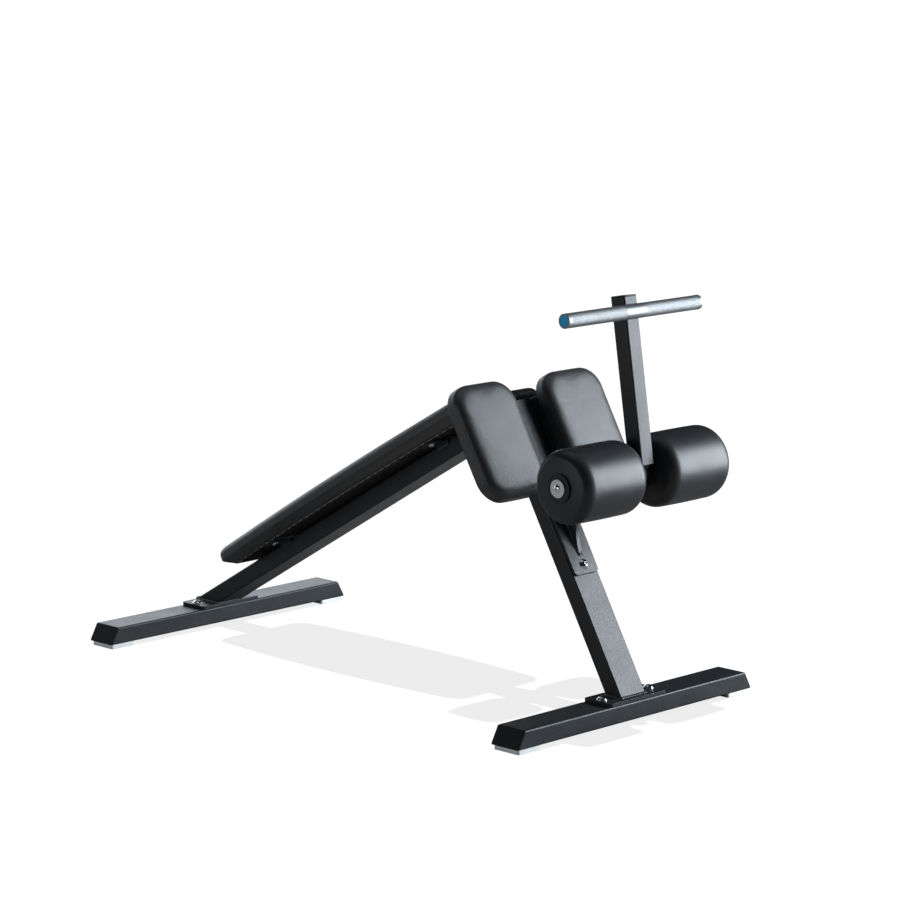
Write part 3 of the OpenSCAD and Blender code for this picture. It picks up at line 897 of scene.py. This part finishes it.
class ROMANCHAIR_OT_plastics(bpy.types.Operator):
    """End caps, bushes and glides"""
    bl_idname = "romanchair.plastics"
    bl_label = "Caps, bushes and glides"
    bl_options = {"UNDO"}

    def execute(self, context):
        look = context.scene.roman_chair.finish
        black = moulded("black_plastic", look.plastic, 0.36)
        caps = nodes_in("black_plastic")
        dress([name for name in caps if name != "post_cap"], black, 0.8 * MM)
        dress(["post_cap"], black, 2.2 * MM)
        dress(nodes_in("black_nylon"), moulded("black_nylon", look.plastic, 0.42), 0.6 * MM)
        dress(nodes_in("blue_plastic"), moulded("blue_plastic", look.blue, 0.30), 0.7 * MM)
        pale = moulded("pale_plastic", look.pale, 0.35, 500.0, 0.0001)
        dress(nodes_in("white_plastic"), pale, 0.7 * MM)
        return {"FINISHED"}


class ROMANCHAIR_OT_boards(bpy.types.Operator):
    """Stained plywood boards behind the cushions"""
    bl_idname = "romanchair.boards"
    bl_label = "Boards"
    bl_options = {"UNDO"}

    def execute(self, context):
        wood = stained_board(context.scene.roman_chair.finish)
        dress(nodes_in("plywood"), wood, 0.5 * MM)
        return {"FINISHED"}


class ROMANCHAIR_OT_back_cushion(bpy.types.Operator):
    """The long back cushion with its sewn seam and folded flap"""
    bl_idname = "romanchair.back_cushion"
    bl_label = "Back cushion"
    bl_options = {"UNDO"}
    held_rows = 5
    seam_row = 4

    def execute(self, context):
        chair = context.scene.roman_chair
        pad = chair.padding
        node = "back_pad_cushion"
        low, high = tilted_box(node)
        middle = (low + high) / 2
        deep = high.z - low.z
        shy = pad.shy
        cushion = Cushion(high.x - low.x - 2 * shy, high.y - low.y - 2 * pad.back_bow - 2 * shy,
                          pad.back_corner - shy, pad.back_bow, pad.cell)
        cushion.build(self.rows(deep, pad.flap / MM), self.held_rows, 1.2 * MM)
        base = Vector((middle.x, middle.y, low.z))
        form = [TILT @ (base + Vector(point)) for point in cushion.points], cushion.faces
        skin = vinyl(chair.finish)
        piece = make_piece("back_cover", form, skin, sharp=180)
        swell(piece, cushion.held, pad)
        seam = cushion.ring(self.seam_row)
        out = tilted(0, 0, -1)
        path = [piece.data.vertices[i].co.copy() for i in seam]
        for index in seam:
            piece.data.vertices[index].co -= out * 0.7 * MM
        finish_cushion(piece, node)
        stitches = dashes(path, [out] * len(path), pad.stitch, pad.thread)
        make_piece("back_stitches", stitches, thread_finish())
        return {"FINISHED"}

    def rows(self, deep, flap):
        """(side inset, end inset, height) from the flap under the board to the panel's edge."""
        mm = [(36 + flap, 14 + flap, 0.5), (36 + flap, 14 + flap, -0.9), (38, 16, -1.0),
              (36.2, 14.2, -0.5), (35.4, 13.4, 0.2), (34.4, 12.4, 0.7), (26, 9.2, 3.2),
              (17, 6, 6.2), (8, 2.8, 9.3), (2, 0.8, 11.3), (0.3, 0.2, 12.2), (0, 0, 13.6)]
        mm += [(inset, inset, height) for inset, height in (
            (0, 18), (0.1, 22.5), (0.4, 26), (1.4, 29.8), (3.4, 33.2), (6.2, 36.2), (10, 38.4),
            (14.5, 39.7), (20, 40.4))]
        return in_metres(mm, deep / 0.041)


class ROMANCHAIR_OT_thigh_cushions(bpy.types.Operator):
    """Both thigh cushions with their edge seams"""
    bl_idname = "romanchair.thigh_cushions"
    bl_label = "Thigh cushions"
    bl_options = {"UNDO"}
    held_rows = 4
    rear_seam = 9
    front_seam = 17

    def execute(self, context):
        chair = context.scene.roman_chair
        pad = chair.padding
        skin = vinyl(chair.finish)
        thread = thread_finish()
        for side in ("left", "right"):
            self.cushion(side, pad, skin, thread)
        return {"FINISHED"}

    def cushion(self, side, pad, skin, thread):
        node = "thigh_cushion_" + side
        low, high = tilted_box(node)
        middle = (low + high) / 2
        shy = pad.shy
        cushion = Cushion(high.z - low.z - 2 * shy, high.y - low.y - 2 * shy,
                          pad.thigh_corner - shy, 0.0, pad.cell * 0.8)
        rows = self.rows(high.x - low.x)
        cushion.build(rows, self.held_rows, 0.6 * MM)
        base = Vector((low.x, middle.y, middle.z))
        points = [TILT @ (base + Vector((h, -v, u))) for u, v, h in cushion.points]
        form = points, cushion.faces
        piece = make_piece("thigh_cover_" + side, form, skin, sharp=180)
        swell(piece, cushion.held, pad)
        centre = tilted(middle.x, middle.y, middle.z)
        out_of_leg = tilted(1, 0, 0)
        for row, dip in ((self.rear_seam, 0.9), (self.front_seam, 1.0)):
            ring = cushion.ring(row)
            path = [piece.data.vertices[i].co.copy() for i in ring]
            outward = []
            for point in path:
                away = point - centre
                outward.append((away - out_of_leg * away.dot(out_of_leg)).normalized())
            for index, away in zip(ring, outward):
                piece.data.vertices[index].co -= away * dip * MM
        lift = out_of_leg * 1.6 * MM
        path = [point - away * 0.2 * MM + lift for point, away in zip(path, outward)]
        finish_cushion(piece, node)
        stitches = dashes(path, outward, pad.stitch, pad.thread)
        make_piece("thigh_stitches_" + side, stitches, thread)

    def rows(self, deep):
        """(side inset, end inset, height) from the board's back to the panel's edge."""
        mm = [(inset, inset, height) for inset, height in (
              (12, 0.4), (12, -0.8), (5, -0.9), (3, -0.4), (1.6, 0.3), (0.7, 1.2), (0.2, 2.0),
              (0.1, 2.4), (0.1, 2.8), (0.6, 3.3), (0, 3.8), (0, 5), (0, 9), (0, 14), (0, 19),
              (0.1, 22.8), (0.2, 24.3), (0.7, 25), (0.4, 25.8), (1.0, 28), (2.6, 31),
              (5.6, 34.4), (9.6, 37), (14.5, 38.7), (20, 39.6), (27, 40))]
        return in_metres(mm, deep / 0.040)


class ROMANCHAIR_OT_rollers(bpy.types.Operator):
    """Both foam rollers"""
    bl_idname = "romanchair.rollers"
    bl_label = "Foam rollers"
    bl_options = {"UNDO"}

    def execute(self, context):
        chair = context.scene.roman_chair
        skin = foam_skin(chair.finish)
        for side in ("left", "right"):
            self.roller(side, chair.rollers, skin)
        return {"FINISHED"}

    def roller(self, side, shape, skin):
        node = "foam_roller_" + side
        middle, radius, half = barrel(node)
        profile = self.profile(shape, radius, half)
        steps = shape.steps
        points = [turned(middle, y, r, step, steps) for y, r in profile for step in range(steps)]
        form = points, bands(len(profile), steps, True, True)
        body = side + "_roller"
        piece = make_piece("foam_skin_" + side, form, skin, body, 24)
        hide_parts(node)

    def profile(self, shape, radius, half):
        """(distance along, radius) once round the roller's section."""
        bore = shape.bore
        end = shape.end_radius
        rise = radius - end
        side = [(half, bore + 0.6 * MM), (half, end - 1.2 * MM), (half - 0.4 * MM, end)]
        for step in range(1, 13):
            angle = math.radians(30 + 60 * step / 12)
            run = shape.shoulder * (math.cos(math.radians(30)) - math.cos(angle))
            run /= math.cos(math.radians(30))
            side.append((half - run, end + rise * (math.sin(angle) - 0.5) / 0.5))
        barrel = half - shape.shoulder
        for step in range(1, 9):
            along = barrel * (1 - step / 8)
            side.append((along, radius + shape.crown * (1 - (along / barrel) ** 2)))
        side = [(half - 0.6 * MM, bore)] + side
        return side + [(-y, r) for y, r in side[-2::-1]]


class ROMANCHAIR_OT_hand_bar(bpy.types.Operator):
    """The knurled hand bar"""
    bl_idname = "romanchair.hand_bar"
    bl_label = "Hand bar"
    bl_options = {"UNDO"}

    def execute(self, context):
        chair = context.scene.roman_chair
        shape = chair.bar
        middle, radius, half = barrel("hand_bar")
        form = self.grip(shape, radius, half, middle)
        steel = knurled_steel(chair.finish)
        piece = make_piece("hand_grip", form, steel, sharp=14)
        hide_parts("hand_bar")
        return {"FINISHED"}

    def grip(self, shape, radius, half, middle):
        """Rings from one end to the other, with diamonds between the smooth stretches."""
        around = shape.around
        rings = [(-half + 0.4 * MM, shape.bore, 0), (-half, shape.bore + 0.5 * MM, 0)]
        rings += [(-half, radius - 0.8 * MM, 0), (-half + 0.8 * MM, radius, 0)]
        knurl_end = half - shape.plain_end
        rows = round((knurl_end - shape.smooth) / shape.pitch)
        right = [(-knurl_end + (knurl_end - shape.smooth) * row / rows, radius - 0.3 * MM, row + 1)
                 for row in range(rows + 1)]
        rings += [(-knurl_end - 0.4 * MM, radius, 0)] + right
        rings += [(-shape.smooth + 0.4 * MM, radius - 0.05 * MM, 0)]
        rings += [(-y, r, mark) for y, r, mark in reversed(rings)]
        points = []
        for y, r, mark in rings:
            for step in range(around):
                lift = shape.depth if mark and (step + mark) % 2 else 0.0
                points.append(turned(middle, y, r + lift, step, around))
        faces = []
        total = len(rings)
        for index, quad in enumerate(bands(total, around, True, True)):
            ring, step = divmod(index, around)
            a, b, c, d = quad
            mark = rings[ring][2]
            if not (mark and rings[(ring + 1) % total][2]):
                faces.append(quad)
            elif (step + mark) % 2:
                faces += [[a, b, c], [a, c, d]]
            else:
                faces += [[a, b, d], [b, c, d]]
        return points, faces


class ROMANCHAIR_OT_welds(bpy.types.Operator):
    """Weld beads where the tubes, plates and brackets meet"""
    bl_idname = "romanchair.welds"
    bl_label = "Welds"
    bl_options = {"UNDO"}

    def execute(self, context):
        chair = context.scene.roman_chair
        self.shape = chair.welds
        self.parts = []
        self.tube_ends()
        self.brackets()
        self.roller_arm()
        coat = weld_finish(chair.finish)
        make_piece("weld_beads", merged(self.parts), coat, sharp=60)
        return {"FINISHED"}

    def bead(self, path, outward, closed=False, scale=1.0):
        """A bead of overlapping ripples along a path."""
        step = self.shape.ripple / 4
        line = even_path(path, step, closed)
        ripple = (1.0, 0.95, 0.82, 0.62)
        radii = [self.shape.bead * scale * ripple[index % 4] for index in range(len(line))]
        self.parts.append(tube(line, radii, outward, closed))

    def outline(self, low_a, high_a, low_b, high_b, radius, place):
        """A rounded rectangle, put in place by a function of its two coordinates."""
        loop = rounded_loop(high_a - low_a, high_b - low_b, radius, 0.0, 24, 24)
        mid_a = (low_a + high_a) / 2
        mid_b = (low_b + high_b) / 2
        return [place(mid_a + a, mid_b + b) for a, b in loop]

    def tube_ends(self):
        up = Vector((0, 0, 1))
        rise = math.sin(SLOPE)
        run = math.cos(SLOPE)
        low, high = tilted_box("front_leg")
        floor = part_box("front_flange_plate")[1].z
        self.bead(self.outline(
            low.x, high.x, low.y, high.y, 4 * MM,
            lambda a, b: tilted(a, b, (floor - a * rise) / run)), up, True)
        deep, top = tilted_box("main_beam")
        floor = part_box("rear_flange_plate")[1].z
        self.bead(self.outline(
            deep.z, top.z, deep.y, top.y, 4 * MM,
            lambda a, b: tilted((floor - a * run) / rise, b, a)), up, True)
        out = tilted(-1, 0, 0)
        self.bead(self.outline(
            deep.z, top.z, deep.y, top.y, 4 * MM,
            lambda a, b: tilted(top.x, b, a)), out, True, 0.8)

    def brackets(self):
        beam = tilted_box("main_beam")[1]
        for name in ("back_bracket_lower", "back_bracket_upper"):
            low, high = tilted_box(name)
            middle = (low.x + high.x) / 2
            for side in (-1, 1):
                out = tilted(0, side, 0)
                line = [tilted(middle + end * 16 * MM, side * (beam.y + 1 * MM), low.z)
                        for end in (-1, 1)]
                self.bead(line, out, False, 0.7)
        leg = tilted_box("front_leg")[1]
        for name, side in (("thigh_bracket_left", 1), ("thigh_bracket_right", -1)):
            low, high = tilted_box(name)
            out = tilted(0, side, 0)
            for end in (low.z, high.z):
                line = [tilted(across, side * leg.y, end)
                        for across in (low.x + 3 * MM, leg.x - 2 * MM)]
                self.bead(line, out, False, 0.7)

    def roller_arm(self):
        face = tilted_box("roller_bracket_plate")[1].x
        root = [point for point in tilted_points("roller_arm") if abs(point.x - face) < 1 * MM]
        low, high = corners(root)
        out = tilted(1, 0, 0)
        self.bead(self.outline(
            low.z, high.z, low.y, high.y, 2 * MM,
            lambda a, b: tilted(face, b, a)), out, True, 0.9)
        middle, radius, _ = barrel("axle_sleeve")
        for side in (-1, 1):
            ring = [turned(middle, side * 5.5 * MM, radius, step, 48) for step in range(48)]
            self.bead(ring, Vector((0, side, 0)), True, 0.7)


class ROMANCHAIR_OT_staples(bpy.types.Operator):
    """Staples that hold the back cushion's flap to its board"""
    bl_idname = "romanchair.staples"
    bl_label = "Staples"
    bl_options = {"UNDO"}
    # where the wire bends: share of half the crown's length, millimetres out of the board
    bends = ((-1, -1.2), (-1, 0.1), (-0.9, 0.3), (0.9, 0.3), (1, 0.1), (1, -1.2))

    def execute(self, context):
        chair = context.scene.roman_chair
        pad = chair.padding
        low, high = tilted_box("back_pad_cushion")
        middle = (low + high) / 2
        length = high.x - low.x
        width = high.y - low.y - 2 * pad.back_bow
        inset = 36 * MM + pad.flap * 0.6
        end = 14 * MM + pad.flap * 0.6
        loop = rounded_loop(length - 2 * end, width - 2 * inset, pad.back_corner - 0.6 * inset,
                            pad.back_bow, 80, 24)
        base = Vector((middle.x, middle.y, low.z - 1.1 * MM))
        path = even_path([TILT @ (base + Vector((u, v, 0))) for u, v in loop],
                         pad.staple_gap, True)
        down = tilted(0, 0, -1)
        parts = []
        for index, here in enumerate(path):
            run = (path[(index + 1) % len(path)] - here).normalized() * 5.5 * MM
            wire = [here + run * side + down * depth * MM for side, depth in self.bends]
            parts.append(tube(wire, [0.45 * MM] * 6, run.cross(down).normalized(), False, 6))
        steel = plated("staple_wire", chair.finish.steel, 0.3)
        make_piece("flap_staples", merged(parts), steel)
        return {"FINISHED"}


class ROMANCHAIR_PT_panel(bpy.types.Panel):
    """Lists the roman chair's pieces and settings"""
    bl_idname = "ROMANCHAIR_PT_panel"
    bl_label = "Roman Chair"
    bl_space_type = "VIEW_3D"
    bl_region_type = "UI"
    bl_category = "Roman Chair"

    def draw(self, context):
        chair = context.scene.roman_chair
        for operator in OPERATORS:
            self.layout.operator(operator.bl_idname)
        for name in ("finish", "padding", "rollers", "bar", "welds", "stage"):
            settings = getattr(chair, name)
            box = self.layout.box()
            box.label(text=name.capitalize())
            for key in settings.bl_rna.properties.keys():
                if key not in ("rna_type", "name"):
                    box.prop(settings, key)


OPERATORS = (
    ROMANCHAIR_OT_stage, ROMANCHAIR_OT_frame, ROMANCHAIR_OT_hardware, ROMANCHAIR_OT_plastics,
    ROMANCHAIR_OT_boards, ROMANCHAIR_OT_back_cushion, ROMANCHAIR_OT_thigh_cushions,
    ROMANCHAIR_OT_rollers, ROMANCHAIR_OT_hand_bar, ROMANCHAIR_OT_welds, ROMANCHAIR_OT_staples,
)
GROUPS = (
    ROMANCHAIR_PG_finish, ROMANCHAIR_PG_padding, ROMANCHAIR_PG_rollers, ROMANCHAIR_PG_bar,
    ROMANCHAIR_PG_welds, ROMANCHAIR_PG_stage, ROMANCHAIR_PG_chair,
)
CLASSES = GROUPS + OPERATORS + (ROMANCHAIR_PT_panel,)


def register():
    for item in CLASSES:
        bpy.utils.register_class(item)
    bpy.types.Scene.roman_chair = group("Roman chair", "Its settings", ROMANCHAIR_PG_chair)


def unregister():
    del bpy.types.Scene.roman_chair
    for item in reversed(CLASSES):
        bpy.utils.unregister_class(item)


def main():
    register()
    for operator in OPERATORS:
        getattr(bpy.ops.romanchair, operator.bl_idname.split(".")[1])()


if __name__ == "__main__":
    main()
